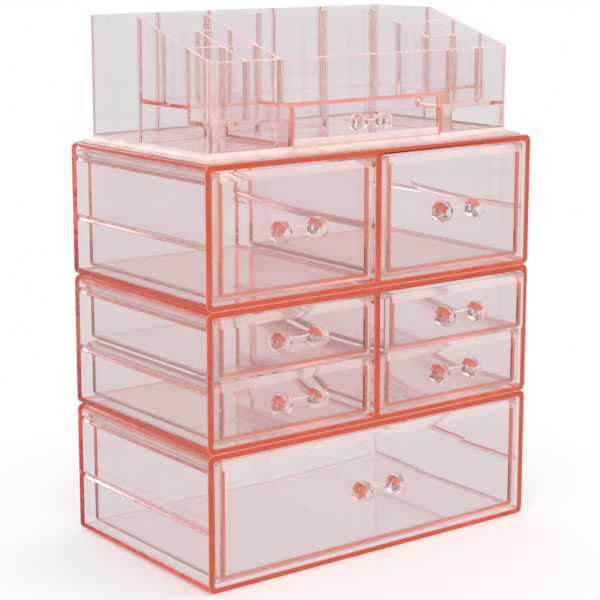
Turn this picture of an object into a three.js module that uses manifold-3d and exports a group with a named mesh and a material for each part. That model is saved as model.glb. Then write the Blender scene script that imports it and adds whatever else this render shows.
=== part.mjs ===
// A clear pink acrylic make-up organizer: three stacked drawer cases with a compartment tray on top.
// Millimetres, +Z up, fronts facing -Y. The origin is the middle of the bottom case's underside.

import * as THREE from 'three';
import { mergeVertices } from 'three/addons/utils/BufferGeometryUtils.js';
import Module from 'manifold-3d';

const wasm = await Module();
wasm.setup();

// Cases: three open-fronted moulded boxes, alike apart from the divider
const caseWidth = 240;
const caseDepth = 140;
const caseHeight = 80;
const caseCorner = 4;
const caseInnerCorner = 1.5;
const caseSideWall = 4;
const caseRoof = 3.8;
const caseFloor = 3.4;
const caseBack = 2.5;
const dividerThickness = 4.4;

// Rails moulded along the case walls, on which the drawers hang by their flanges.
// They slope underneath, and they begin behind the drawer fronts.
const railReach = 2.6;
const railHeight = 3;
const railTip = 1.4;
const railSetback = 0.8;
const hangGap = 0.3;

// Drawers of the cases
const drawerDepth = 132.5;
const drawerLift = 1.6;
const drawerHeadroom = 1.2;
const drawerLevelGap = 1.1;
const drawerSideGap = 5;
const drawerSkin = 2.2;
const drawerFloor = 2.2;
const drawerCorner = 3.5;
const flangeHeight = 2.5;
const flangePlay = 1.3;
const leftAjar = 4;

// A drawer's front reaches out as far as the flanges, and a bevel all round thins it towards its edge
const drawerFront = 2.8;
const frontEdge = 1.3;
const frontBevelTop = 5;
const frontBevelBottom = 2.2;
const frontCorner = 2;
const frontOverlap = 0.4;

// Handles: two gem-cut posts on a thin bar, held by pegs in the drawer front
const postSpacing = 25.5;
const postWidth = 11.5;
const postPrism = 5.8;
const postCrown = 3.7;
const tableWidth = 5.8;
const postSides = 8;
const barHeight = 3.4;
const barThickness = 2.4;
const barEdge = 0.8;
const pegRadius = 1.6;
const pegPlay = 0.3;
const pegSides = 12;

// The tray drawer's handle is a smaller one of the same cut
const smallPostSpacing = 18.7;
const smallPostWidth = 9.6;
const smallPostPrism = 4.6;
const smallPostCrown = 3;
const smallTableWidth = 4.8;
const smallBarHeight = 2.8;

// Top tray: one moulding, with wells behind, a stepped block of slots each side and an open middle
const trayWidth = 218.5;
const trayFrontInset = 9.5;
const trayBackInset = 5;
const trayHeight = 74.5;
const trayFrontHeight = 52.8;
const trayCorner = 4.2;
const traySkin = 2.2;
const trayBase = 3.5;
const partition = 1.8;
const wellDepth = 50.8;
const wellCorner = 1.5;
const blockWallX = 62;
const middleWellX = 24.4;
const shelfTop = 28.7;
const shelfThickness = 2.2;
const frontSlotFloor = 20.7;
const slotRowShares = [0.31, 0.345, 0.345];

// The tray's flared foot
const footSide = 7.3;
const footFront = 6.3;
const footBack = 3;
const footHeight = 4.5;
const footLip = 1;
const footSteps = 5;

// Cubbies under the slot blocks, open to the front by a window
const bayHalf = 54.5;
const bayWall = 2;
const windowInset = 9.5;
const windowEdge = 4.7;
const windowBottom = 5.5;
const windowCorner = 3.5;

// The small drawer in the middle of the tray, which slides on the tray's base
const smallDrawerBackGap = 6.7;
const smallDrawerPlay = 0.5;
const smallDrawerSkin = 1.8;
const smallDrawerCorner = 1.5;

const arcSteps = 3;
const overrun = 5;
const weldDistance = 0.0001;

// Places worked out from the sizes above
const frontY = -caseDepth / 2;
const backY = caseDepth / 2;
const caseHalf = caseWidth / 2;
const innerHalf = caseHalf - caseSideWall;
const roofZ = caseHeight - caseRoof;
const lowZ = caseFloor + drawerLift;
const highZ = roofZ - drawerHeadroom;
const lowerTopZ = (lowZ + highZ - drawerLevelGap) / 2;
const upperBottomZ = lowerTopZ + drawerLevelGap;
const railTops = [lowerTopZ, highZ].map((top) => top - flangeHeight - hangGap);
const flangeReach = drawerSideGap - flangePlay;
const frontBackY = frontY + drawerFront;
const trayHalf = trayWidth / 2;
const trayFrontY = frontY + trayFrontInset;
const trayBackY = backY - trayBackInset;
const trayInnerFrontY = trayFrontY + traySkin;
const wellFrontY = trayBackY - traySkin - wellDepth;
const slotBackY = wellFrontY - partition;
const trayInnerHalf = trayHalf - traySkin;
const smallDrawerDepth = slotBackY - trayFrontY - smallDrawerBackGap;

// Stands an outline drawn in X and Z up, to be carried along Y, and lays one in Y and Z along X
const alongY = new THREE.Matrix4().makeBasis(
  new THREE.Vector3(1, 0, 0),
  new THREE.Vector3(0, 0, 1),
  new THREE.Vector3(0, -1, 0),
);
const alongX = new THREE.Matrix4().makeBasis(
  new THREE.Vector3(0, 1, 0),
  new THREE.Vector3(0, 0, 1),
  new THREE.Vector3(1, 0, 0),
);

const casePlastic = new THREE.MeshStandardMaterial({ color: '#e3b5b0', roughness: 0.12, metalness: 0 });
const drawerPlastic = new THREE.MeshStandardMaterial({ color: '#e8c6c2', roughness: 0.1, metalness: 0 });
const trayPlastic = new THREE.MeshStandardMaterial({ color: '#ebccc8', roughness: 0.1, metalness: 0 });
const gemPlastic = new THREE.MeshStandardMaterial({ color: '#d98472', roughness: 0.06, metalness: 0 });

// The closed solid of a geometry
function solidOf(geometry) {
  const bare = geometry.clone();
  bare.deleteAttribute('normal');
  bare.deleteAttribute('uv');
  const merged = mergeVertices(bare, weldDistance);
  return new wasm.Manifold(new wasm.Mesh({
    numProp: 3,
    vertProperties: new Float32Array(merged.attributes.position.array),
    triVerts: new Uint32Array(merged.index.array),
  }));
}

function meshOf(name, solid, material) {
  const data = solid.getMesh();
  const geometry = new THREE.BufferGeometry();
  geometry.setAttribute('position', new THREE.BufferAttribute(new Float32Array(data.vertProperties), 3));
  geometry.setIndex(new THREE.BufferAttribute(new Uint32Array(data.triVerts), 1));
  geometry.computeVertexNormals();
  const mesh = new THREE.Mesh(geometry, material);
  mesh.name = name;
  return mesh;
}

// A rectangle with one radius for its two lower corners and one for its two upper corners
function roundedOutline(left, right, bottom, top, lowerRadius, upperRadius) {
  const shape = new THREE.Shape();
  shape.moveTo(left + lowerRadius, bottom);
  addCorner(shape, right - lowerRadius, bottom + lowerRadius, lowerRadius, -Math.PI / 2);
  addCorner(shape, right - upperRadius, top - upperRadius, upperRadius, 0);
  addCorner(shape, left + upperRadius, top - upperRadius, upperRadius, Math.PI / 2);
  addCorner(shape, left + lowerRadius, bottom + lowerRadius, lowerRadius, Math.PI);
  return shape;
}

// A quarter turn to the left round a corner's centre, or the sharp corner itself where the radius is nil
function addCorner(shape, x, y, radius, startAngle) {
  if (radius > 0) {
    shape.absarc(x, y, radius, startAngle, startAngle + Math.PI / 2, false);
  } else {
    shape.lineTo(x, y);
  }
}

function extruded(shape, length) {
  return new THREE.ExtrudeGeometry(shape, { depth: length, bevelEnabled: false, curveSegments: arcSteps });
}

// An X-Z outline carried along Y
function barAlongY(shape, startY, endY) {
  const geometry = extruded(shape, endY - startY);
  geometry.applyMatrix4(alongY);
  geometry.translate(0, endY, 0);
  return solidOf(geometry);
}

// A Y-Z outline carried along X
function barAlongX(shape, startX, endX) {
  const geometry = extruded(shape, endX - startX);
  geometry.applyMatrix4(alongX);
  geometry.translate(startX, 0, 0);
  return solidOf(geometry);
}

// An X-Y outline carried up Z
function barAlongZ(shape, startZ, endZ) {
  const geometry = extruded(shape, endZ - startZ);
  geometry.translate(0, 0, startZ);
  return solidOf(geometry);
}

// A pin with its axis along Y
function pin(x, z, radius, startY, endY) {
  const geometry = new THREE.CylinderGeometry(radius, radius, endY - startY, pegSides);
  geometry.translate(x, (startY + endY) / 2, z);
  return solidOf(geometry);
}

// A closed solid through rings of equally many points, flat at both ends
function loftOf(rings) {
  const count = rings[0].length;
  const points = rings.flat();
  for (const ring of [rings[0], rings[rings.length - 1]]) {
    const sum = new THREE.Vector3();
    ring.forEach((point) => sum.add(point));
    points.push(sum.divideScalar(count));
  }
  const startMiddle = points.length - 2;
  const endMiddle = points.length - 1;
  const lastRing = (rings.length - 1) * count;
  const faces = [];
  for (let i = 0; i < count; i += 1) {
    const j = (i + 1) % count;
    faces.push(startMiddle, j, i);
    faces.push(endMiddle, lastRing + i, lastRing + j);
    for (let low = 0; low < lastRing; low += count) {
      faces.push(low + i, low + j, low + count + i);
      faces.push(low + j, low + count + j, low + count + i);
    }
  }
  const geometry = new THREE.BufferGeometry().setFromPoints(points);
  geometry.setIndex(faces);
  return solidOf(geometry);
}

// The hollow of a bay seen from the front, with the rails standing into it from both walls
function bayOutline(left, right) {
  const shape = new THREE.Shape();
  const radius = caseInnerCorner;
  shape.moveTo(left + radius, caseFloor);
  addCorner(shape, right - radius, caseFloor + radius, radius, -Math.PI / 2);
  for (const top of railTops) {
    shape.lineTo(right, top - railHeight);
    shape.lineTo(right - railReach, top - railTip);
    shape.lineTo(right - railReach, top);
    shape.lineTo(right, top);
  }
  addCorner(shape, right - radius, roofZ - radius, radius, 0);
  addCorner(shape, left + radius, roofZ - radius, radius, Math.PI / 2);
  for (const top of [...railTops].reverse()) {
    shape.lineTo(left, top);
    shape.lineTo(left + railReach, top);
    shape.lineTo(left + railReach, top - railTip);
    shape.lineTo(left, top - railHeight);
  }
  addCorner(shape, left + radius, caseFloor + radius, radius, Math.PI);
  return shape;
}

// A case with one bay, or with two beside a divider
function makeCase(name, bays) {
  const outline = roundedOutline(-caseHalf, caseHalf, 0, caseHeight, caseCorner, caseCorner);
  let solid = barAlongY(outline, frontY, backY);
  for (const [left, right] of bays) {
    const mouth = roundedOutline(left, right, caseFloor, roofZ, caseInnerCorner, caseInnerCorner);
    solid = solid.subtract(barAlongY(bayOutline(left, right), frontY - overrun, backY - caseBack));
    solid = solid.subtract(barAlongY(mouth, frontY - overrun, frontBackY + railSetback));
  }
  return meshOf(name, solid, casePlastic);
}

// A drawer's outer section: a tub with rounded lower corners and a flange each side at its top edge
function tubOutline(left, right, bottom, top, flange) {
  const shape = new THREE.Shape();
  const radius = drawerCorner;
  shape.moveTo(left + radius, bottom);
  addCorner(shape, right - radius, bottom + radius, radius, -Math.PI / 2);
  shape.lineTo(right, top - flangeHeight);
  shape.lineTo(right + flange, top - flangeHeight);
  shape.lineTo(right + flange, top);
  shape.lineTo(left - flange, top);
  shape.lineTo(left - flange, top - flangeHeight);
  shape.lineTo(left, top - flangeHeight);
  addCorner(shape, left + radius, bottom + radius, radius, Math.PI);
  return shape;
}

// An upright ring of a drawer front's outline, with rounded lower corners
function frontRing(left, right, bottom, top, y) {
  const r = frontCorner;
  const arc = (x, start) => Array.from({ length: arcSteps + 1 }, (_, i) => {
    const angle = start + ((i / arcSteps) * Math.PI) / 2;
    return new THREE.Vector3(x + r * Math.cos(angle), y, bottom + r + r * Math.sin(angle));
  });
  return [
    ...arc(left + r, Math.PI),
    ...arc(right - r, -Math.PI / 2),
    new THREE.Vector3(right, y, top),
    new THREE.Vector3(left, y, top),
  ];
}

// The front of a drawer whose tub lies between two sides: flat behind, with a raised middle over the tub
function frontPlate(left, right, bottom, top) {
  const outer = (y) => frontRing(left - flangeReach, right + flangeReach, bottom, top, y);
  const middle = frontRing(left, right, bottom + frontBevelBottom, top - frontBevelTop, frontY);
  return loftOf([outer(frontBackY), outer(frontBackY - frontEdge), middle]);
}

// A drawer hanging in the bay between two walls, with the holes for its handle's pegs
function makeDrawer(name, wallLeft, wallRight, bottom, top) {
  const left = wallLeft + drawerSideGap;
  const right = wallRight - drawerSideGap;
  const endY = frontY + drawerDepth;
  const tub = tubOutline(left, right, bottom, top, flangeReach);
  const radius = drawerCorner - drawerSkin;
  const hollow = roundedOutline(
    left + drawerSkin, right - drawerSkin, bottom + drawerFloor, top + overrun, radius, 0,
  );
  let solid = frontPlate(left, right, bottom, top).add(barAlongY(tub, frontBackY - frontOverlap, endY));
  solid = solid.subtract(barAlongY(hollow, frontBackY, endY - drawerSkin));
  const middle = (left + right) / 2;
  for (const x of [middle - postSpacing / 2, middle + postSpacing / 2]) {
    const hole = pin(x, (bottom + top) / 2, pegRadius + pegPlay, frontY - overrun, frontY + overrun);
    solid = solid.subtract(hole);
  }
  return meshOf(name, solid, drawerPlastic);
}

// One eight-sided post, straight at its root and cut to a smaller flat table at its tip
function gemPost(x, width, prism, crown, table) {
  const ring = (across, y) => {
    const radius = across / 2 / Math.cos(Math.PI / postSides);
    return Array.from({ length: postSides }, (_, i) => {
      const angle = ((i + 1 / 2) / postSides) * Math.PI * 2;
      return new THREE.Vector3(x + radius * Math.cos(angle), y, radius * Math.sin(angle));
    });
  };
  return loftOf([ring(width, 0), ring(width, -prism), ring(table, -prism - crown)]);
}

// A handle with its back at Y 0, its posts pointing to -Y and its pegs to +Y
function makeHandle(name, size) {
  const half = size.spacing / 2;
  const barHalf = size.bar / 2;
  const barOutline = roundedOutline(-barThickness, 0, -barHalf, barHalf, barEdge, barEdge);
  let solid = barAlongX(barOutline, -half, half);
  for (const x of [-half, half]) {
    solid = solid.add(gemPost(x, size.width, size.prism, size.crown, size.table));
    solid = solid.add(pin(x, 0, pegRadius, -size.prism, size.peg));
  }
  return meshOf(name, solid, gemPlastic);
}

const handleSize = {
  spacing: postSpacing,
  width: postWidth,
  prism: postPrism,
  crown: postCrown,
  table: tableWidth,
  bar: barHeight,
  peg: drawerFront,
};
const smallHandleSize = {
  spacing: smallPostSpacing,
  width: smallPostWidth,
  prism: smallPostPrism,
  crown: smallPostCrown,
  table: smallTableWidth,
  bar: smallBarHeight,
  peg: smallDrawerSkin,
};

// A level ring of the tray's outline, pushed out by a share of the foot's flare
function trayRing(flare, z) {
  const left = -trayHalf - footSide * flare;
  const right = trayHalf + footSide * flare;
  const front = trayFrontY - footFront * flare;
  const back = trayBackY + footBack * flare;
  const r = trayCorner;
  const corners = [
    [right - r, front + r, -Math.PI / 2],
    [right - r, back - r, 0],
    [left + r, back - r, Math.PI / 2],
    [left + r, front + r, Math.PI],
  ];
  return corners.flatMap(([x, y, start]) => Array.from({ length: arcSteps + 1 }, (_, i) => {
    const angle = start + ((i / arcSteps) * Math.PI) / 2;
    return new THREE.Vector3(x + r * Math.cos(angle), y + r * Math.sin(angle), z);
  }));
}

// The tray's foot: an upright lip, then a hollow curve up to the walls
function trayFoot() {
  const rings = [trayRing(1, 0)];
  for (let step = 0; step <= footSteps; step += 1) {
    const angle = (step / footSteps) * (Math.PI / 2);
    const rise = (footHeight - footLip) * (1 - Math.cos(angle));
    rings.push(trayRing(1 - Math.sin(angle), footLip + rise));
  }
  return loftOf(rings);
}

// The tray's side view: level over the wells, then a straight slope down to the front
function trayProfile() {
  const shape = new THREE.Shape();
  shape.moveTo(trayBackY + overrun, -overrun);
  shape.lineTo(trayBackY + overrun, trayHeight);
  shape.lineTo(slotBackY, trayHeight);
  shape.lineTo(trayFrontY, trayFrontHeight);
  shape.lineTo(trayFrontY - overrun, trayFrontHeight);
  shape.lineTo(trayFrontY - overrun, -overrun);
  return shape;
}

// An upright hollow, open at the top
function well(left, right, front, back, floor) {
  const outline = roundedOutline(left, right, front, back, wellCorner, wellCorner);
  return barAlongZ(outline, floor, trayHeight + overrun);
}

// The five wells behind, set out between the side walls by the dividers' places
function backWells() {
  const dividers = [-blockWallX, -middleWellX, middleWellX, blockWallX];
  const lefts = [-trayInnerHalf, ...dividers.map((x) => x + partition / 2)];
  const rights = [...dividers.map((x) => x - partition / 2), trayInnerHalf];
  return lefts.map((left, i) => well(left, rights[i], wellFrontY, trayBackY - traySkin, trayBase));
}

// Front and back of each row of slots, from the front row to the one at the cross wall
function slotRows() {
  const clear = slotBackY - trayInnerFrontY - partition * (slotRowShares.length - 1);
  const rows = [];
  let front = trayInnerFrontY;
  for (const share of slotRowShares) {
    rows.push([front, front + clear * share]);
    front += clear * share + partition;
  }
  return rows;
}

// The slots of one block: two side by side in each row but the last, which is one long slot
function blockSlots(side) {
  const inner = blockWallX + partition / 2;
  const middle = (inner + trayInnerHalf) / 2;
  const spans = [[inner, middle - partition / 2], [middle + partition / 2, trayInnerHalf]];
  const rows = slotRows();
  return rows.flatMap(([front, back], row) => {
    const floor = row === 0 ? frontSlotFloor : shelfTop;
    const across = row === rows.length - 1 ? [[inner, trayInnerHalf]] : spans;
    return across.map(([near, far]) => {
      const [left, right] = [near * side, far * side].sort((a, b) => a - b);
      return well(left, right, front, back, floor);
    });
  });
}

// The hollow under one block, which steps down under the front slots, and its window
function cubby(side) {
  const near = bayHalf + bayWall;
  const [left, right] = [near * side, trayInnerHalf * side].sort((a, b) => a - b);
  const lowRoof = frontSlotFloor - shelfThickness;
  const highRoof = shelfTop - shelfThickness;
  const stepY = slotRows()[0][1] + partition;
  const section = new THREE.Shape();
  section.moveTo(trayInnerFrontY, trayBase);
  section.lineTo(slotBackY, trayBase);
  section.lineTo(slotBackY, highRoof);
  section.lineTo(stepY, highRoof);
  section.lineTo(stepY, lowRoof);
  section.lineTo(trayInnerFrontY, lowRoof);
  const [windowLeft, windowRight] = [
    (near + windowInset - bayWall) * side,
    (trayHalf - windowEdge) * side,
  ].sort((a, b) => a - b);
  const frame = roundedOutline(windowLeft, windowRight, windowBottom, lowRoof, windowCorner, windowCorner);
  const window = barAlongY(frame, trayFrontY - overrun, trayInnerFrontY + overrun);
  return barAlongX(section, left, right).add(window);
}

// The bay of the small drawer, open to the front
function drawerBay() {
  const outline = roundedOutline(-bayHalf, bayHalf, trayBase, shelfTop - shelfThickness, 0, 0);
  return barAlongY(outline, trayFrontY - overrun, slotBackY);
}

function makeTray() {
  const walls = loftOf([trayRing(0, 0), trayRing(0, trayHeight + overrun)]);
  const profile = barAlongX(trayProfile(), -caseHalf, caseHalf);
  const middleEdge = blockWallX - partition / 2;
  const hollows = [
    ...backWells(),
    ...blockSlots(-1),
    ...blockSlots(1),
    well(-middleEdge, middleEdge, trayInnerFrontY, slotBackY, shelfTop),
    cubby(-1),
    cubby(1),
    drawerBay(),
  ];
  let solid = walls.intersect(profile).add(trayFoot());
  for (const hollow of hollows) {
    solid = solid.subtract(hollow);
  }
  return meshOf('top_tray', solid, trayPlastic);
}

// The small drawer is a plain tub that fills its bay but for the play round it
function makeTrayDrawer() {
  const half = bayHalf - smallDrawerPlay;
  const bottom = trayBase + smallDrawerPlay;
  const top = shelfTop - shelfThickness - smallDrawerPlay;
  const skin = smallDrawerSkin;
  const outer = roundedOutline(-half, half, bottom, top, smallDrawerCorner, 0);
  const hollow = roundedOutline(-half + skin, half - skin, bottom + skin, top + overrun, 0, 0);
  let solid = barAlongY(outer, trayFrontY, trayFrontY + smallDrawerDepth);
  solid = solid.subtract(barAlongY(hollow, trayFrontY + skin, trayFrontY + smallDrawerDepth - skin));
  for (const x of [-smallPostSpacing / 2, smallPostSpacing / 2]) {
    const hole = pin(x, (bottom + top) / 2, pegRadius + pegPlay, trayFrontY - overrun, trayFrontY + overrun);
    solid = solid.subtract(hole);
  }
  return meshOf('tray_drawer', solid, drawerPlastic);
}

const leftBay = [-innerHalf, -dividerThickness / 2];
const rightBay = [dividerThickness / 2, innerHalf];
const wholeBay = [-innerHalf, innerHalf];

// Each unit is a case and the drawers in its bays, by level
const units = [
  {
    name: 'bottom',
    bays: [wholeBay],
    drawers: [['bottom', wholeBay, lowZ, highZ, 0]],
  },
  {
    name: 'middle',
    bays: [leftBay, rightBay],
    drawers: [
      ['middle_lower_left', leftBay, lowZ, lowerTopZ, 0],
      ['middle_lower_right', rightBay, lowZ, lowerTopZ, 0],
      ['middle_upper_left', leftBay, upperBottomZ, highZ, 0],
      ['middle_upper_right', rightBay, upperBottomZ, highZ, leftAjar],
    ],
  },
  {
    name: 'upper',
    bays: [leftBay, rightBay],
    drawers: [
      ['upper_left', leftBay, lowZ, highZ, 0],
      ['upper_right', rightBay, lowZ, highZ, 0],
    ],
  },
];

// A drawer with its handle on its front, drawn forward by the distance it is left ajar
function drawerGroup(name, [wallLeft, wallRight], bottom, top, ajar) {
  const group = new THREE.Group();
  const handle = makeHandle(`${name}_handle`, handleSize);
  handle.position.set((wallLeft + wallRight) / 2, frontY, (bottom + top) / 2);
  group.add(makeDrawer(`${name}_drawer`, wallLeft, wallRight, bottom, top), handle);
  group.position.y = -ajar;
  return group;
}

function unitGroup(unit, level) {
  const group = new THREE.Group();
  group.add(makeCase(`${unit.name}_case`, unit.bays));
  for (const drawer of unit.drawers) {
    group.add(drawerGroup(...drawer));
  }
  group.position.z = caseHeight * level;
  return group;
}

function trayGroup() {
  const group = new THREE.Group();
  const handle = makeHandle('tray_drawer_handle', smallHandleSize);
  handle.position.set(0, trayFrontY, (trayBase + shelfTop - shelfThickness) / 2);
  group.add(makeTray(), makeTrayDrawer(), handle);
  group.position.z = caseHeight * units.length;
  return group;
}

const organizer = new THREE.Group();
units.forEach((unit, level) => organizer.add(unitGroup(unit, level)));
organizer.add(trayGroup());

export default organizer;
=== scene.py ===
"""The look of a clear pink make-up organizer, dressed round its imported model."""

import logging
import math
from dataclasses import dataclass, field
from enum import Enum

import bmesh
import bpy
from mathutils import Matrix, Vector


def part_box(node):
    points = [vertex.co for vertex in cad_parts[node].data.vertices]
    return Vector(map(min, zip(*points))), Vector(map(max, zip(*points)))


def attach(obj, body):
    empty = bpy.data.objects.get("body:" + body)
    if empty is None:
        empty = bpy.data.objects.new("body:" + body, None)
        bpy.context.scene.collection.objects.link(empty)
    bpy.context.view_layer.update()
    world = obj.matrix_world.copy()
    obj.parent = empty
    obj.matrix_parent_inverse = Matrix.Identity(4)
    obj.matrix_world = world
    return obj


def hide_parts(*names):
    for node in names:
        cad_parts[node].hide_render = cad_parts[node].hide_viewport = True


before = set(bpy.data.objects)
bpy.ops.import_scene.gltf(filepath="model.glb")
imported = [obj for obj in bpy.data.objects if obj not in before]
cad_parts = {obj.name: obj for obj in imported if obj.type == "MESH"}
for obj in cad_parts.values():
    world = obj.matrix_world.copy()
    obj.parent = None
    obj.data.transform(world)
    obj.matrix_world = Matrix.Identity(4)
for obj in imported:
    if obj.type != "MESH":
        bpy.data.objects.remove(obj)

log = logging.getLogger("organizer")

MM = 0.001
HAIR = MM / 1000  # points nearer than this are one
FACING = 0.99  # the part of its normal along an axis from which a flat face counts as facing it
FRAME_PIXELS = 600
SENSOR_MM = 36.0
WHITE = (1.0, 1.0, 1.0, 1.0)
MARKS = ("rim", "edge", "cover", "pale")
Colour = tuple[float, float, float]


class Surface(Enum):
    """The kinds of surface that a moulded piece shows, in the order of its material slots."""

    PANEL = 0
    RIM = 1
    EDGE = 2


class Value:
    """A shader socket that can be calculated with: each operation adds one Math node."""

    def __init__(self, sheet: "Sheet", socket: bpy.types.NodeSocket) -> None:
        """Wraps a socket."""
        self.sheet = sheet
        self.socket = socket

    def _math(self, operation: str, first: "Value | float", second: "Value | float") -> "Value":
        """Adds a Math node for one operation on two values."""
        return self.sheet.value("ShaderNodeMath", {"operation": operation}, {0: first, 1: second})

    def __add__(self, other: "Value | float") -> "Value":
        """The sum."""
        return self._math("ADD", self, other)

    def __radd__(self, other: float) -> "Value":
        """The sum with a number in front."""
        return self._math("ADD", other, self)

    def __mul__(self, other: "Value | float") -> "Value":
        """The product."""
        return self._math("MULTIPLY", self, other)

    def __rmul__(self, other: float) -> "Value":
        """The product with a number in front."""
        return self._math("MULTIPLY", other, self)

    def band(self, low: float, high: float) -> "Value":
        """A smooth step.

        Args:
            low: where the result is 0.
            high: where the result is 1; it may be the smaller of the two.

        Returns:
            A value from 0 to 1.
        """
        settings = {"interpolation_type": "SMOOTHSTEP"}
        if low < high:
            return self.sheet.value("ShaderNodeMapRange", settings, {0: self, 1: low, 2: high, 3: 0.0, 4: 1.0})
        return self.sheet.value("ShaderNodeMapRange", settings, {0: self, 1: high, 2: low, 3: 1.0, 4: 0.0})


class Sheet:
    """The nodes of one material, or of the world."""

    def __init__(self, owner: "bpy.types.Material | bpy.types.World") -> None:
        """Empties the owner's nodes.

        Args:
            owner: what the nodes are for.
        """
        self.owner = owner
        owner.use_nodes = True
        self.tree = owner.node_tree
        self.tree.nodes.clear()

    def node(self, kind: str, settings: dict | None = None, inputs: dict | None = None) -> bpy.types.Node:
        """Adds a node.

        Args:
            kind: the node's type.
            settings: its properties, set first.
            inputs: the values or links of its sockets, by name or number.

        Returns:
            The node.
        """
        made = self.tree.nodes.new(kind)
        for key, setting in (settings or {}).items():
            setattr(made, key, setting)
        for key, given in (inputs or {}).items():
            socket = made.inputs[key]
            if isinstance(given, Value):
                self.tree.links.new(given.socket, socket)
            elif isinstance(given, bpy.types.NodeSocket):
                self.tree.links.new(given, socket)
            else:
                socket.default_value = given
        return made

    def value(self, kind: str, settings: dict, inputs: dict, output: int | str = 0) -> Value:
        """Adds a node, as node() does, and wraps one of its outputs."""
        return Value(self, self.node(kind, settings, inputs).outputs[output])

    def place(self) -> Value:
        """Where a point lies on the object, in metres."""
        return self.value("ShaderNodeTexCoord", {}, {}, "Object")

    def mark(self, name: str) -> Value:
        """Reads one of the marks that the faces carry."""
        return self.value("ShaderNodeAttribute", {"attribute_name": name}, {}, "Fac")

    def noise(self, scale: float, detail: float) -> Value:
        """Makes soft random spots, so many along a metre and with so many finer layers."""
        return self.value("ShaderNodeTexNoise", {}, {"Vector": self.place(), "Scale": scale, "Detail": detail})

    def ray(self, kind: str) -> Value:
        """Tells one kind of light ray from the others, by the name of its Light Path output."""
        return self.value("ShaderNodeLightPath", {}, {}, kind)

    def blend(self, factor: Value, first: Colour | Value, second: Colour | Value) -> Value:
        """Mixes two colours.

        Args:
            factor: 0 for the first colour and 1 for the second.
            first: a colour or a link.
            second: a colour or a link.

        Returns:
            The mixed colour.
        """
        pair = [(*c, 1.0) if isinstance(c, tuple) else c for c in (first, second)]
        settings = {"data_type": "RGBA"}
        return self.value("ShaderNodeMix", settings, {0: factor, 6: pair[0], 7: pair[1]}, 2)

    def finish(
        self,
        clear: dict,
        lit: dict,
        cover: Value,
        normal: Value,
        shadow: Colour,
        depth: tuple[Colour, float] | None,
    ) -> bpy.types.Material:
        """Ends the material in a clear shader, with a plain lit one over it that paints the glow of the places
        that gather light.

        Args:
            clear: the clear shader's sockets by name.
            lit: the sockets of the plain shader that paints the glow, by name.
            cover: how much of the painted glow shows.
            normal: the surface's normal.
            shadow: the colour of light that the lamps send through.
            depth: the colour and density that light passes inside, if it does.

        Returns:
            The material.
        """
        below = self.node("ShaderNodeBsdfPrincipled", {}, {**clear, "Normal": normal}).outputs[0]
        above = self.node("ShaderNodeBsdfPrincipled", {}, {**lit, "Normal": normal}).outputs[0]
        surface = self.node("ShaderNodeMixShader", {}, {0: cover, 1: below, 2: above}).outputs[0]
        through = self.node("ShaderNodeBsdfTransparent", {}, {"Color": (*shadow, 1.0)}).outputs[0]
        lamp_ray = self.ray("Is Shadow Ray")
        surface = self.node("ShaderNodeMixShader", {}, {0: lamp_ray, 1: surface, 2: through}).outputs[0]
        ends = {0: surface}
        if depth is not None:
            inside = {"Color": (*depth[0], 1.0), "Density": depth[1]}
            ends[1] = self.node("ShaderNodeVolumeAbsorption", {}, inside).outputs[0]
        self.node("ShaderNodeOutputMaterial", {}, ends)
        return self.owner


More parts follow.
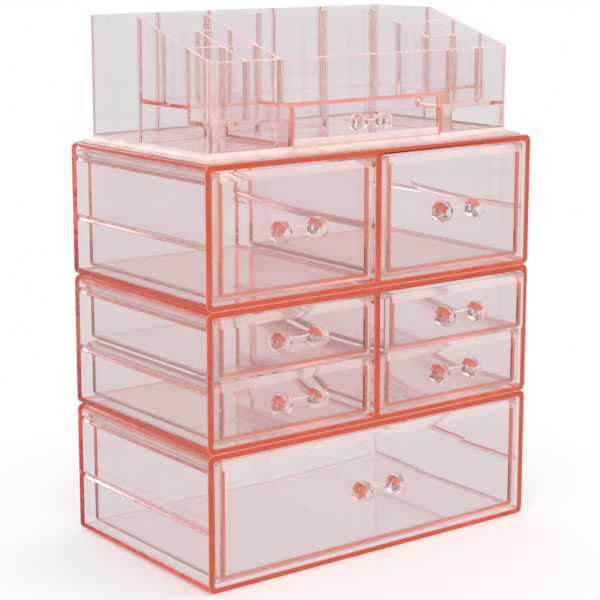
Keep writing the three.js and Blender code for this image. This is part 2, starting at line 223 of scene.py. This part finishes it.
@dataclass(frozen=True)
class ClearFinish:
    """Clear pink plastic: it bends what is behind it, and its colour gathers along the walls and at their ends,
    partly by real absorption inside and partly as painted glow and painted tint on the ends and broken edges.
    """

    # the two colours of the painted glow, a plain lit coat that stands in for light gathered along the walls
    deep_painted_glow: Colour
    pale_painted_glow: Colour
    panel_tint: Colour = (0.992, 0.982, 0.993)
    # rim_tint and edge_tint are painted tints on the walls' ends and broken edges, strengthening the colour that
    # light gathers there
    rim_tint: Colour = (1.0, 0.95, 0.95)
    edge_tint: Colour = (1.0, 0.95, 0.94)
    depth_tint: Colour = (1.0, 0.23, 0.02)
    depth_density: float | None = 11.7
    shadow_tint: Colour = (0.985, 0.96, 0.957)
    refraction: float = 1.49
    wave_scale: float = 38.0
    wave_height: float = 0.00006
    wave_strength: float = 0.5
    scratch_scale: float = 900.0
    scratch_roughness: float = 0.05
    streak_scale: float = 60.0
    streak_cover: tuple[float, float] = (0.85, 1.15)
    speck_scale: float = 420.0
    speck_tint: Colour = (1.0, 0.97, 0.97)
    speck_roughness: float = 0.4
    rim_roughness: float = 0.14
    lit_roughness: tuple[float, float] = (0.22, 0.32)

    def material(self, name: str) -> bpy.types.Material:
        """Builds the plastic.

        Args:
            name: the material's name.

        Returns:
            The material.
        """
        sheet = Sheet(bpy.data.materials.new(name))
        rim, edge, cover, pale = (sheet.mark(mark) for mark in MARKS)
        wave = sheet.noise(self.wave_scale, 1.0)
        scratch = sheet.noise(self.scratch_scale, 0.0)
        streak = sheet.noise(self.streak_scale, 2.0)
        cells = sheet.value(
            "ShaderNodeTexVoronoi", {}, {"Vector": sheet.place(), "Scale": self.speck_scale}, "Distance"
        )
        speck = cells.band(0.09, 0.03) * wave.band(0.52, 0.6)
        panel = sheet.blend(speck, self.panel_tint, self.speck_tint)
        # painted tint on the walls' ends and broken edges, strengthening the colour gathered there
        colour = sheet.blend(edge, sheet.blend(rim, panel, self.rim_tint), self.edge_tint)
        bump = sheet.value(
            "ShaderNodeBump", {},
            {"Strength": self.wave_strength, "Distance": self.wave_height, "Height": wave}, "Normal",
        )
        dull, duller = self.lit_roughness
        least, most = self.streak_cover
        return sheet.finish(
            {
                "Base Color": colour,
                "Roughness": scratch.band(0.55, 0.75) * self.scratch_roughness
                + speck * self.speck_roughness
                + rim * self.rim_roughness,
                "IOR": self.refraction,
                "Transmission Weight": 1.0,
            },
            # the plain lit shader that paints the glow, from deep to pale by the pale mark
            {
                "Base Color": sheet.blend(pale, self.deep_painted_glow, self.pale_painted_glow),
                "Roughness": scratch.band(0.4, 0.7) * (duller - dull) + dull,
                "IOR": self.refraction,
            },
            # how much of the painted glow shows, broken into streaks
            cover * (streak.band(0.3, 0.7) * (most - least) + least),
            bump,
            self.shadow_tint,
            None if self.depth_density is None else (self.depth_tint, self.depth_density),
        )


@dataclass(frozen=True)
class PaintedGlow:
    """Painted glow: a plain lit coat that stands in for the light a surface gathers inside the clear plastic,
    given by how much of the surface it covers and how pale it is.
    """

    cover: float = 0.0
    pale: float = 0.0


@dataclass
class Moulding:
    """A clear moulded piece: a copy of its CAD solid with broken edges, its surfaces told apart, and painted glow
    marked on its faces.
    """

    node: str
    body: str
    slot: str
    finish: bpy.types.Material
    edge_mm: float = 0.35
    edge_steps: int = 2
    sharp_degrees: float = 35.0
    rim_width_mm: float = 4.6
    relief_mm: float = 0.04
    rim_glow: PaintedGlow = PaintedGlow(0.2, 0.0)
    edge_glow: PaintedGlow = PaintedGlow(0.35, 1.0)
    low: Vector = field(init=False)
    high: Vector = field(init=False)

    def build(self) -> bpy.types.Object:
        """Makes the piece, dresses it and puts it on its body.

        Returns:
            The piece.
        """
        mesh = bpy.data.meshes.new(f"{self.node}_clear")
        shape = bmesh.new()
        shape.from_mesh(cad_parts[self.node].data)
        bmesh.ops.remove_doubles(shape, verts=shape.verts, dist=HAIR)
        bmesh.ops.dissolve_limit(
            shape, angle_limit=math.radians(1), use_dissolve_boundaries=False, verts=shape.verts, edges=shape.edges
        )
        self._relieve(shape)
        self.low, self.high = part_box(self.node)
        self.score(shape)
        # rim and edge tell each face's surface apart; cover and pale set its painted glow
        layers = [shape.faces.layers.float.new(mark) for mark in MARKS]
        for face in shape.faces:
            kind = self.kind(face)
            glow = self.glow(face, kind)
            for layer, amount in zip(layers, (float(kind is Surface.RIM), 0.0, glow.cover, glow.pale)):
                face[layer] = amount
        limit = math.radians(self.sharp_degrees)
        sharp = [e for e in shape.edges if len(e.link_faces) == 2 and e.calc_face_angle(0) > limit]
        bmesh.ops.bevel(
            shape, geom=sharp, offset=self.edge_mm * MM, offset_type="OFFSET", segments=self.edge_steps,
            profile=0.5, affect="EDGES", clamp_overlap=True, material=Surface.EDGE.value,
        )
        for face in shape.faces:
            face.smooth = face.material_index != Surface.EDGE.value
            if not face.smooth:
                glow = self.broken_edge(face)
                for layer, amount in zip(layers, (0.0, 1.0, glow.cover, glow.pale)):
                    face[layer] = amount
            face.material_index = 0
        shape.to_mesh(mesh)
        shape.free()
        mesh.materials.append(self.finish)
        mesh.set_sharp_from_angle(angle=limit)
        piece = bpy.data.objects.new(f"{self.node}_clear", mesh)
        bpy.context.scene.collection.objects.link(piece)
        even = piece.modifiers.new("even", "WEIGHTED_NORMAL")
        even.keep_sharp = True
        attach(piece, self.body)
        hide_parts(self.node)
        return piece

    def _relieve(self, shape: bmesh.types.BMesh) -> None:
        """Draws every face in by a hair, so that light finds air between pieces that touch.

        Args:
            shape: the solid.
        """
        shape.normal_update()
        moves = [(v, v.normal * (v.calc_shell_factor() * self.relief_mm * MM)) for v in shape.verts]
        for vertex, move in moves:
            vertex.co -= move

    def kind(self, face: bmesh.types.BMFace) -> Surface:
        """Tells a wall's end from its side."""
        width = 2 * face.calc_area() / max(face.calc_perimeter(), MM)
        return Surface.RIM if width < self.rim_width_mm * MM else Surface.PANEL

    def score(self, shape: bmesh.types.BMesh) -> None:
        """Parts faces where their painted glow changes. A plain moulding has no such face."""

    def glow(self, face: bmesh.types.BMFace, kind: Surface) -> PaintedGlow:
        """Says how much painted glow a face gets."""
        return self.rim_glow if kind is Surface.RIM else PaintedGlow()

    def broken_edge(self, face: bmesh.types.BMFace) -> PaintedGlow:
        """Says how much painted glow a broken edge gets."""
        return self.edge_glow

    def front_faces(self, shape: bmesh.types.BMesh) -> list[bmesh.types.BMFace]:
        """Finds the flat faces that look to the front."""
        reach = self.low.y + MM
        return [f for f in shape.faces if f.normal.y < -FACING and f.calc_center_median().y < reach]

    def cut(self, shape: bmesh.types.BMesh, faces: list[bmesh.types.BMFace], place: Vector, axis: Vector) -> None:
        """Parts some faces along a plane.

        Args:
            shape: the solid.
            faces: the faces to part.
            place: a point on the plane.
            axis: the plane's normal.
        """
        edges = {e for f in faces for e in f.edges}
        verts = {v for f in faces for v in f.verts}
        bmesh.ops.bisect_plane(
            shape, geom=[*faces, *edges, *verts], dist=HAIR, plane_co=place, plane_no=axis
        )


@dataclass
class CaseMoulding(Moulding):
    """A case. Its walls' front ends get the most painted glow, a deep core between lighter bands; its long outer
    edges and broken edges get painted glow too.
    """

    rim_glow: PaintedGlow = PaintedGlow(0.12, 0.8)
    core_glow: PaintedGlow = PaintedGlow(0.8, 0.0)
    band_glow: PaintedGlow = PaintedGlow(0.65, 0.2)
    long_edge_glow: PaintedGlow = PaintedGlow(0.62, 0.0)
    front_edge_glow: PaintedGlow = PaintedGlow(0.75, 0.9)
    edge_glow: PaintedGlow = PaintedGlow(0.3, 0.5)
    band_mm: float = 1.1
    long_edge_mm: float = 3.0
    bands: set[bmesh.types.BMFace] = field(default_factory=set)

    def score(self, shape: bmesh.types.BMesh) -> None:
        """Parts the front ends into a core and its bands.

        Args:
            shape: the solid.
        """
        ends = self.front_faces(shape)
        made = bmesh.ops.inset_region(shape, faces=ends, thickness=self.band_mm * MM, use_even_offset=True)
        self.bands = set(made["faces"])

    def glow(self, face: bmesh.types.BMFace, kind: Surface) -> PaintedGlow:
        """Says how much painted glow a face gets.

        Args:
            face: a face of the solid.
            kind: the surface that it is.

        Returns:
            The face's glow.
        """
        middle = face.calc_center_median()
        if face.normal.y < -FACING and middle.y < self.low.y + MM:
            return self.band_glow if face in self.bands else self.core_glow
        outside = min(middle.x - self.low.x, self.high.x - middle.x) < self.long_edge_mm * MM
        if kind is Surface.RIM and outside and min(abs(face.normal.x), abs(face.normal.z)) > 0.5:
            return self.long_edge_glow
        return super().glow(face, kind)

    def broken_edge(self, face: bmesh.types.BMFace) -> PaintedGlow:
        """Says how much painted glow a broken edge gets."""
        return self.front_edge_glow if face.calc_center_median().y < self.low.y + MM else self.edge_glow


@dataclass
class DrawerMoulding(Moulding):
    """A drawer. Its front plate has slanting sides with a pale painted glow, and the ends of the walls and floor
    behind it are painted on its front as glow.
    """

    plate_mm: float = 2.8
    side_slant_mm: float = 3.7
    bottom_slant_mm: float = 2.2
    wall_mm: float = 2.2
    floor_reach_mm: float = 5.0
    wall_glow: PaintedGlow = PaintedGlow(0.75, 0.0)
    floor_end_glow: PaintedGlow = PaintedGlow(0.7, 0.0)
    rim_glow: PaintedGlow = PaintedGlow(0.3, 0.85)
    edge_glow: PaintedGlow = PaintedGlow(0.3, 0.8)
    floor_glow: PaintedGlow = PaintedGlow(0.08, 0.7)
    top_glow: PaintedGlow = PaintedGlow(0.28, 1.0)
    side_glow: PaintedGlow = PaintedGlow(0.25, 1.0)
    bottom_glow: PaintedGlow = PaintedGlow(0.4, 1.0)

    def score(self, shape: bmesh.types.BMesh) -> None:
        """Parts the plate's flat front in front of the side walls and the floor.

        Args:
            shape: the solid.
        """
        for edge, inwards in ((self.low.x, 1), (self.high.x, -1)):
            place = Vector((edge + inwards * (self.side_slant_mm + self.wall_mm) * MM, 0, 0))
            self.cut(shape, self.front_faces(shape), place, Vector((1, 0, 0)))
        place = self.low + Vector((0, 0, (self.bottom_slant_mm + self.wall_mm) * MM))
        self.cut(shape, self.front_faces(shape), place, Vector((0, 0, 1)))

    def glow(self, face: bmesh.types.BMFace, kind: Surface) -> PaintedGlow:
        """Says how much painted glow a face gets.

        Args:
            face: a face of the solid.
            kind: the surface that it is.

        Returns:
            The face's glow.
        """
        middle = face.calc_center_median()
        level = (middle.z - self.low.z) / MM
        if face.normal.z > FACING and kind is Surface.PANEL and level < self.floor_reach_mm:
            return self.floor_glow
        if middle.y > self.low.y + self.plate_mm * MM or face.normal.y > -0.5:
            return super().glow(face, kind)
        if face.normal.y < -FACING:
            inside = min(middle.x - self.low.x, self.high.x - middle.x) / MM
            if inside < self.side_slant_mm + self.wall_mm:
                return self.wall_glow
            return self.floor_end_glow if level < self.bottom_slant_mm + self.wall_mm else PaintedGlow()
        if abs(face.normal.x) > abs(face.normal.z):
            return self.side_glow
        return self.top_glow if face.normal.z > 0 else self.bottom_glow


@dataclass
class TrayMoulding(Moulding):
    """The tray. Its foot is painted pale, and the glow of the shelf and the bay's walls behind its front is
    painted on that front.
    """

    foot_mm: float = 4.6
    shelf_mm: tuple[float, float] = (26.5, 28.7)
    bay_wall_mm: tuple[float, float] = (54.5, 56.5)
    block_wall_mm: float = 62.0
    corner_mm: float = 100.0
    front_inset_mm: float = 6.3
    level_facing: float = 0.95
    rim_glow: PaintedGlow = PaintedGlow(0.3, 0.5)
    edge_glow: PaintedGlow = PaintedGlow(0.6, 0.8)
    foot_glow: PaintedGlow = PaintedGlow(0.85, 1.0)
    floor_glow: PaintedGlow = PaintedGlow(0.75, 0.9)
    window_glow: PaintedGlow = PaintedGlow(0.5, 1.0)
    bay_wall_glow: PaintedGlow = PaintedGlow(0.75, 0.0)
    lip_glow: PaintedGlow = PaintedGlow(0.8, 0.8)
    corner_glow: PaintedGlow = PaintedGlow(0.25, 1.0)
    shelf_glow: PaintedGlow = PaintedGlow(0.5, 0.2)

    def score(self, shape: bmesh.types.BMesh) -> None:
        """Parts the tray's front where the shelf and the bay's walls end.

        Args:
            shape: the solid.
        """
        planes = [(Vector((0, 0, self.low.z + level * MM)), Vector((0, 0, 1))) for level in self.shelf_mm]
        for reach in (*self.bay_wall_mm, self.block_wall_mm):
            planes += [(Vector((side * reach * MM, 0, 0)), Vector((1, 0, 0))) for side in (-1, 1)]
        for place, axis in planes:
            self.cut(shape, self.front_faces(shape), place, axis)

    def front_faces(self, shape: bmesh.types.BMesh) -> list[bmesh.types.BMFace]:
        """Finds the flat faces that look to the front, above the foot."""
        return [f for f in shape.faces if self._in_front(f)]

    def _in_front(self, face: bmesh.types.BMFace) -> bool:
        """Says whether a face lies flat in the outside of the front wall."""
        place = self.low.y + self.front_inset_mm * MM
        return face.normal.y < -FACING and abs(face.calc_center_median().y - place) < MM

    def glow(self, face: bmesh.types.BMFace, kind: Surface) -> PaintedGlow:
        """Says how much painted glow a face gets.

        Args:
            face: a face of the solid.
            kind: the surface that it is.

        Returns:
            The face's glow.
        """
        middle = face.calc_center_median()
        level = (middle.z - self.low.z) / MM
        aside = abs(middle.x) / MM
        if level < self.foot_mm and face.normal.z < self.level_facing:
            return self.foot_glow if face.normal.z > -0.5 else PaintedGlow()
        if kind is Surface.RIM and face.normal.z > 0.6:
            return self.lip_glow
        if level < self.shelf_mm[0] and face.normal.z > self.level_facing:
            return self.floor_glow
        slanting = abs(face.normal.x) > 0.1 and face.normal.y < -0.1
        if kind is Surface.RIM and slanting and aside > self.corner_mm:
            return self.corner_glow
        if kind is Surface.RIM and level < self.shelf_mm[0] and middle.y < 0 and abs(face.normal.y) < 0.1:
            return self.window_glow
        if self._in_front(face):
            on_shelf = self.shelf_mm[0] < level < self.shelf_mm[1] and aside < self.block_wall_mm
            on_wall = level < self.shelf_mm[0] and self.bay_wall_mm[0] < aside < self.bay_wall_mm[1]
            return self.shelf_glow if on_shelf else self.bay_wall_glow if on_wall else PaintedGlow()
        return super().glow(face, kind)


@dataclass
class SmallDrawerMoulding(Moulding):
    """The tray's drawer. The base behind it is painted as a light band along the foot of its front."""

    sill_mm: float = 4.3
    sill_glow: PaintedGlow = PaintedGlow(0.65, 1.0)
    rim_glow: PaintedGlow = PaintedGlow(0.3, 0.7)
    edge_glow: PaintedGlow = PaintedGlow(0.5, 0.7)

    def score(self, shape: bmesh.types.BMesh) -> None:
        """Parts the front above its light band."""
        self.cut(shape, self.front_faces(shape), self.low + Vector((0, 0, self.sill_mm * MM)), Vector((0, 0, 1)))

    def glow(self, face: bmesh.types.BMFace, kind: Surface) -> PaintedGlow:
        """Says how much painted glow a face gets.

        Args:
            face: a face of the solid.
            kind: the surface that it is.

        Returns:
            The face's glow.
        """
        middle = face.calc_center_median()
        if face.normal.y < -FACING and middle.y < self.low.y + MM:
            return self.sill_glow if middle.z < self.low.z + self.sill_mm * MM else PaintedGlow()
        return super().glow(face, kind)


@dataclass
class HandleMoulding(Moulding):
    """A handle. Its painted glow gathers in the facets that look up to the left, and near them on the left post,
    with a painted highlight on the bar's top.
    """

    bar_span: tuple[float, float] = (0.36, 0.64)
    warm_side: Vector = field(default_factory=lambda: Vector((-0.7, -0.1, 0.7)))
    warm_lean: tuple[float, float] = (0.8, 0.75)
    dim_lean: float = 0.1
    warm_glow: PaintedGlow = PaintedGlow(0.72, 0.0)
    dim_glow: PaintedGlow = PaintedGlow(0.4, 0.2)
    clear_glow: PaintedGlow = PaintedGlow(0.12, 1.0)
    bright_glow: PaintedGlow = PaintedGlow(0.75, 1.0)
    table_glow: PaintedGlow = PaintedGlow(0.15, 1.0)
    edge_glow: PaintedGlow = PaintedGlow(0.5, 0.75)

    def glow(self, face: bmesh.types.BMFace, kind: Surface) -> PaintedGlow:
        """Says how much painted glow a face gets.

        Args:
            face: a face of the solid.
            kind: the surface that it is.

        Returns:
            The face's glow.
        """
        place = (face.calc_center_median().x - self.low.x) / (self.high.x - self.low.x)
        # the bar's top gets a painted highlight, and the table a little pale painted glow
        if self.bar_span[0] < place < self.bar_span[1]:
            return self.bright_glow if face.normal.z > 0.5 else self.clear_glow
        if face.normal.y < -0.95:
            return self.table_glow
        # the facets get painted glow by the way they face: warm up to the left, dimmer near it on the left post,
        # clear elsewhere
        lean = face.normal.dot(self.warm_side)
        on_left = place < 0.5
        if lean > self.warm_lean[0 if on_left else 1]:
            return self.warm_glow
        return self.dim_glow if on_left and lean > self.dim_lean else self.clear_glow


@dataclass
class PhotoCamera:
    """The camera of the photograph, as fitted to its corners. Pixels are those of the 600 frame."""

    place_mm: tuple[float, float, float] = (-639.2, -826.9, 360.2)
    yaw_degrees: float = 35.64
    pitch_degrees: float = 10.79
    roll_degrees: float = -0.35
    focal_px: float = 1748.1
    axis_px: tuple[float, float] = (241.7, 267.4)

    def build(self) -> bpy.types.Object:
        """Makes the camera.

        Returns:
            The camera, which is the scene's own from now on.
        """
        yaw, pitch, roll = (math.radians(a) for a in (self.yaw_degrees, self.pitch_degrees, self.roll_degrees))
        ahead = Vector((math.sin(yaw) * math.cos(pitch), math.cos(yaw) * math.cos(pitch), -math.sin(pitch)))
        level = Vector((math.cos(yaw), -math.sin(yaw), 0))
        upright = level.cross(ahead)
        right = level * math.cos(roll) + upright * math.sin(roll)
        above = upright * math.cos(roll) - level * math.sin(roll)
        data = bpy.data.cameras.new("camera")
        data.sensor_width = SENSOR_MM
        data.lens = SENSOR_MM * self.focal_px / FRAME_PIXELS
        data.shift_x = (FRAME_PIXELS / 2 - self.axis_px[0]) / FRAME_PIXELS
        data.shift_y = (self.axis_px[1] - FRAME_PIXELS / 2) / FRAME_PIXELS
        data.clip_start = 0.01
        data.clip_end = 20.0
        camera = bpy.data.objects.new("camera", data)
        turn = Matrix((right, above, -ahead)).transposed()
        camera.matrix_world = Matrix.Translation(Vector(self.place_mm) * MM) @ turn.to_4x4()
        bpy.context.scene.collection.objects.link(camera)
        bpy.context.scene.camera = camera
        return camera


@dataclass(frozen=True)
class Lamp:
    """A square soft lamp that points at the middle of the object. Lengths are in metres, the power in watts."""

    name: str
    place: tuple[float, float, float]
    side: float
    power: float
    target: tuple[float, float, float] = (0.0, 0.0, 0.15)

    def build(self) -> None:
        """Makes the lamp."""
        data = bpy.data.lights.new(self.name, "AREA")
        data.size = self.side
        data.energy = self.power
        lamp = bpy.data.objects.new(self.name, data)
        lamp.location = self.place
        ahead = Vector(self.target) - Vector(self.place)
        lamp.rotation_euler = ahead.to_track_quat("-Z", "Y").to_euler()
        bpy.context.scene.collection.objects.link(lamp)


@dataclass
class Studio:
    """A white floor and backdrop under plain soft light. Lengths are in metres."""

    floor_reach: float = 3.0
    floor_drop: float = 0.0002
    floor_tints: tuple[Colour, Colour] = ((1.0, 1.0, 1.0), (0.985, 0.985, 0.985))
    shadow_reach: tuple[float, float] = (0.16, 0.42)
    world_strength: float = 0.757
    light_bounces: int = 160
    clear_layers: int = 96
    lamps: tuple[Lamp, ...] = (
        Lamp("key", (-1.2, -1.5, 1.9), 2.8, 22.0),
        Lamp("fill", (1.8, -1.0, 1.2), 2.2, 10.0),
        Lamp("back", (0.3, 1.8, 1.7), 1.2, 10.0),
    )

    def build(self) -> None:
        """Makes the world, the floor and the lamps, and sets how the picture is shown."""
        scene = bpy.context.scene
        scene.view_settings.view_transform = "Standard"
        scene.cycles.transparent_max_bounces = self.clear_layers
        scene.cycles.max_bounces = self.light_bounces
        scene.cycles.transmission_bounces = self.light_bounces
        scene.cycles.glossy_bounces = self.light_bounces
        self._world(scene)
        self._floor(scene)
        for lamp in self.lamps:
            lamp.build()

    def _world(self, scene: bpy.types.Scene) -> None:
        """Makes a world that is white to the eye and gives a plain light.

        Args:
            scene: the scene that gets it.
        """
        world = Sheet(bpy.data.worlds.new("studio"))
        light = world.value("ShaderNodeBackground", {}, {"Color": WHITE, "Strength": self.world_strength})
        seen = world.value("ShaderNodeBackground", {}, {"Color": WHITE, "Strength": 1.0})
        mix = world.value("ShaderNodeMixShader", {}, {0: world.ray("Is Camera Ray"), 1: light, 2: seen})
        world.node("ShaderNodeOutputWorld", {}, {0: mix})
        scene.world = world.owner

    def _floor(self, scene: bpy.types.Scene) -> None:
        """Makes the floor, which turns to plain white away from the object.

        Args:
            scene: the scene that gets it.
        """
        shape = bmesh.new()
        bmesh.ops.create_grid(shape, x_segments=1, y_segments=1, size=self.floor_reach)
        mesh = bpy.data.meshes.new("floor")
        shape.to_mesh(mesh)
        shape.free()
        floor = bpy.data.objects.new("floor", mesh)
        floor.location.z = -self.floor_drop
        scene.collection.objects.link(floor)
        sheet = Sheet(bpy.data.materials.new("floor"))
        away = sheet.value("ShaderNodeVectorMath", {"operation": "LENGTH"}, {0: sheet.place()}, "Value")
        shade = sheet.value("ShaderNodeBsdfPrincipled", {}, {
            "Base Color": sheet.blend(sheet.noise(12.0, 3.0), *self.floor_tints),
            "Roughness": 0.6,
            "Specular IOR Level": 0.0,
        })
        plain = sheet.value("ShaderNodeEmission", {}, {"Color": WHITE, "Strength": 1.0})
        dull = sheet.value("ShaderNodeEmission", {}, {"Color": WHITE, "Strength": self.world_strength})
        bare = away.band(*self.shadow_reach) * sheet.ray("Is Camera Ray")
        through = sheet.ray("Is Transmission Ray") + sheet.ray("Is Glossy Ray")
        seen = sheet.value("ShaderNodeMixShader", {}, {0: bare, 1: shade, 2: plain})
        ends = sheet.value("ShaderNodeMixShader", {}, {0: through, 1: seen, 2: dull})
        sheet.node("ShaderNodeOutputMaterial", {}, {0: ends})
        mesh.materials.append(sheet.owner)


@dataclass
class Organizer:
    """The whole organizer: cases, drawers, handles and tray, each with its own set of finishes."""

    cases: tuple[str, ...] = ("bottom_case", "middle_case", "upper_case")
    drawers: tuple[str, ...] = (
        "bottom", "middle_lower_left", "middle_lower_right", "middle_upper_left", "middle_upper_right",
        "upper_left", "upper_right",
    )
    finishes: dict[str, ClearFinish] = field(default_factory=lambda: {
        "case_plastic": ClearFinish(
            rim_tint=(1.0, 0.9, 0.88), edge_tint=(1.0, 0.92, 0.9),
            deep_painted_glow=(0.58, 0.070, 0.025), pale_painted_glow=(0.97, 0.32, 0.23),
        ),
        "drawer_plastic": ClearFinish(deep_painted_glow=(0.60, 0.16, 0.10), pale_painted_glow=(0.93, 0.78, 0.75)),
        "tray_plastic": ClearFinish(
            deep_painted_glow=(0.85, 0.20, 0.12), pale_painted_glow=(1.0, 0.82, 0.78), depth_density=9.0
        ),
        "gem_plastic": ClearFinish(
            panel_tint=(1.0, 0.93, 0.92), rim_tint=(1.0, 0.93, 0.92), edge_tint=(1.0, 0.95, 0.95),
            deep_painted_glow=(0.78, 0.13, 0.055), pale_painted_glow=(1.0, 0.88, 0.86), depth_density=None,
        ),
    })

    def build(self) -> None:
        """Builds every piece and reports it."""
        case, drawer, tray, gem = (finish.material(name) for name, finish in self.finishes.items())
        for name in self.cases:
            self._add(CaseMoulding(name, name, "case_plastic", case))
        self._add(TrayMoulding("top_tray", "top_tray", "tray_plastic", tray))
        for name in self.drawers:
            body = f"{name}_drawer"
            self._add(DrawerMoulding(body, body, "drawer_plastic", drawer))
            self._add(HandleMoulding(f"{name}_handle", body, "gem_plastic", gem, edge_mm=0.12, rim_width_mm=2.0))
        self._add(SmallDrawerMoulding("tray_drawer", "tray_drawer", "drawer_plastic", tray))
        self._add(HandleMoulding(
            "tray_drawer_handle", "tray_drawer", "gem_plastic", gem, edge_mm=0.1, rim_width_mm=1.6,
            warm_glow=PaintedGlow(0.3, 0.2), dim_glow=PaintedGlow(0.2, 0.8),
        ))

    def _add(self, moulding: Moulding) -> None:
        """Builds one piece and reports it."""
        piece = moulding.build()
        log.info("%s: %d faces", piece.name, len(piece.data.polygons))


def main() -> None:
    """Builds the studio, the camera and the organizer."""
    logging.basicConfig(level=logging.INFO, format="%(name)s: %(message)s")
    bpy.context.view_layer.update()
    PhotoCamera().build()
    Studio().build()
    Organizer().build()


if __name__ == "__main__":
    main()
